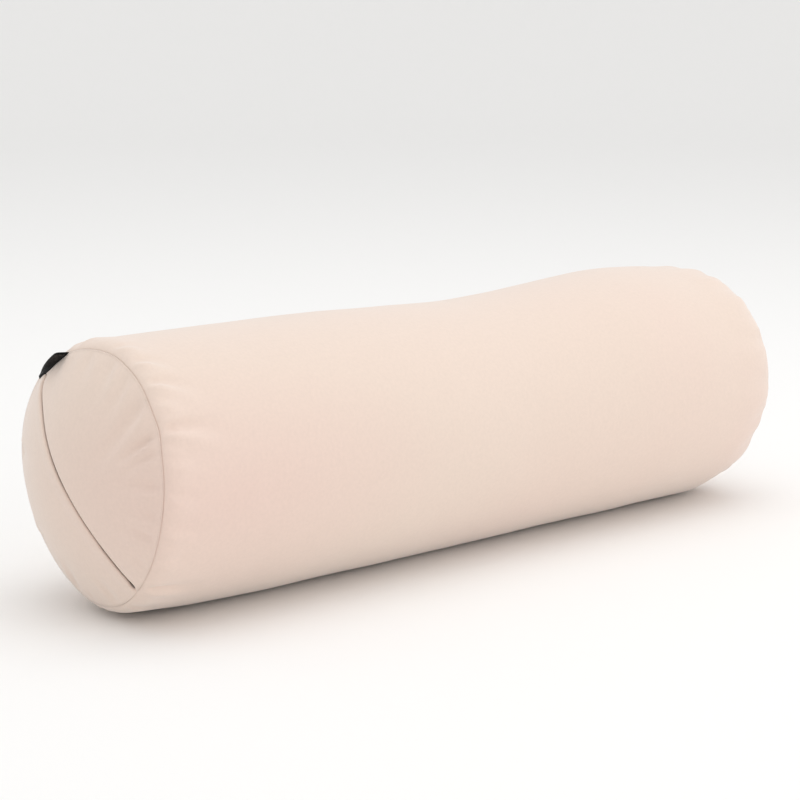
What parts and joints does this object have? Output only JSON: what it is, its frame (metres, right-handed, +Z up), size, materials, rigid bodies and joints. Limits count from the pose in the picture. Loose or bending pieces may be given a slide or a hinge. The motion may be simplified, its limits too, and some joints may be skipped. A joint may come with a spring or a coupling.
{
  "type": "bolster pillow",
  "caption": "Round bolster pillow with a soft fabric cover, domed ends, a concealed zip across one end and a filled inner pillow, for supporting the body on a massage table.",
  "frame": {"origin": "middle of the footprint on the ground, under the centre of the bolster", "axes": "+X along the bolster from the zipped end to the plain end, +Z up"},
  "size_m": [0.7204, 0.2074, 0.2064],
  "materials": {
    "cover_fabric": "fine smooth matt woven microfibre, blush cream",
    "seam_thread": "matt overlock thread, tone on tone",
    "label_black": "black woven satin ribbon, blank",
    "zip_tape": "matt twill tape, darker than the cover",
    "zip_coil": "satin nylon, darker than the cover",
    "zip_metal": "satin die-cast metal",
    "liner_fabric": "plain white lining cloth",
    "fibre_fill": "white polyester fibre batting"
  },
  "bodies": {
    "root": {"cover_body": "cover_fabric", "near_end_panel_upper": "cover_fabric", "near_end_panel_lower": "cover_fabric", "far_end_panel": "cover_fabric", "near_seam_overlock": "seam_thread", "far_seam_overlock": "seam_thread", "body_seam_binding": "seam_thread", "woven_label": "label_black", "zip_tape_upper": "zip_tape", "zip_tape_lower": "zip_tape", "zip_teeth_upper": "zip_coil", "zip_teeth_lower": "zip_coil", "zip_top_stop_upper": "zip_metal", "zip_top_stop_lower": "zip_metal", "zip_bottom_stop": "zip_metal", "liner_body": "liner_fabric", "liner_near_end": "liner_fabric", "liner_far_end": "liner_fabric", "near_fibre_pad": "fibre_fill", "far_fibre_pad": "fibre_fill", "fibre_wrap": "fibre_fill", "batting_roll": "fibre_fill"},
    "slider": {"zip_slider": "zip_metal"},
    "pull": {"zip_pull": "zip_metal"}
  },
  "joints": [
    {"name": "zip_slide", "type": "hinge", "parent": "root", "child": "slider", "pos_m": [-0.19209, 0, 0.10372], "axis": [0, 0.757, -0.6534], "range_deg": [0, 50]},
    {"name": "pull_swing", "type": "hinge", "parent": "slider", "child": "pull", "pos_m": [-0.34049, -0.04729, 0.04893], "axis": [0, -0.757, 0.6534], "range_deg": [0, 150]}
  ]
}
